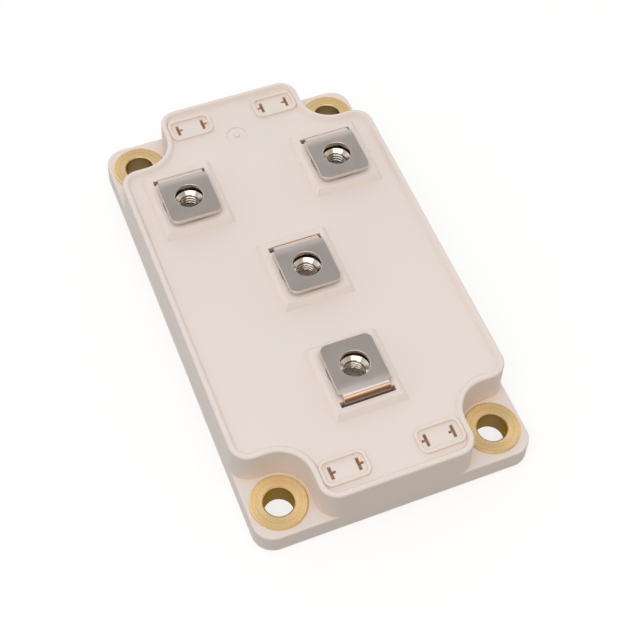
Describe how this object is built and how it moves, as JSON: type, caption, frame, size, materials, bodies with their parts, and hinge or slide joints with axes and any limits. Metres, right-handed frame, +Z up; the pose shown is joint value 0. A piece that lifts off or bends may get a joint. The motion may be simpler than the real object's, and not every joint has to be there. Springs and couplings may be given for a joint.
{
  "type": "bridge rectifier module",
  "caption": "Flat screw-terminal bridge rectifier module: moulded case, bent terminal strips over captive nuts, brass corner bushings, flat base plate.",
  "frame": {"origin": "middle of the underside", "axes": "+X to the right, +Y towards the pair of AC terminals, +Z up out of the cooling face"},
  "size_m": [0.062, 0.108, 0.0165],
  "materials": {
    "housing": "moulded off-white glass-filled PBT",
    "plate_nickel": "nickel-plated copper base plate",
    "adhesive": "cured silicone adhesive",
    "bushing_brass": "turned brass",
    "terminal_plating": "satin nickel-plated copper strip",
    "nut_plating": "bright nickel-plated steel",
    "substrate_ceramic": "alumina",
    "bonded_copper": null,
    "diode_silicon": "metallised silicon",
    "bond_aluminium": "drawn aluminium wire"
  },
  "bodies": {
    "root": {"ac_nut_left": "nut_plating", "ac_nut_right": "nut_plating", "ac_terminal_left": "terminal_plating", "ac_terminal_right": "terminal_plating", "ac_track_left": "bonded_copper", "ac_track_right": "bonded_copper", "adhesive_bead": "adhesive", "base_plate": "plate_nickel", "bushing_far_left": "bushing_brass", "bushing_far_right": "bushing_brass", "bushing_front_left": "bushing_brass", "bushing_front_right": "bushing_brass", "case": "housing", "lower_chip_left": "diode_silicon", "lower_chip_right": "diode_silicon", "lower_wire_1_left": "bond_aluminium", "lower_wire_1_right": "bond_aluminium", "lower_wire_2_left": "bond_aluminium", "lower_wire_2_right": "bond_aluminium", "lower_wire_3_left": "bond_aluminium", "lower_wire_3_right": "bond_aluminium", "negative_nut": "nut_plating", "negative_terminal": "terminal_plating", "negative_track_left": "bonded_copper", "negative_track_right": "bonded_copper", "positive_nut": "nut_plating", "positive_terminal": "terminal_plating", "positive_track_left": "bonded_copper", "positive_track_right": "bonded_copper", "substrate_back_copper_left": "bonded_copper", "substrate_back_copper_right": "bonded_copper", "substrate_ceramic_left": "substrate_ceramic", "substrate_ceramic_right": "substrate_ceramic", "upper_chip_left": "diode_silicon", "upper_chip_right": "diode_silicon", "upper_wire_1_left": "bond_aluminium", "upper_wire_1_right": "bond_aluminium", "upper_wire_2_left": "bond_aluminium", "upper_wire_2_right": "bond_aluminium", "upper_wire_3_left": "bond_aluminium", "upper_wire_3_right": "bond_aluminium"}
  },
  "joints": []
}
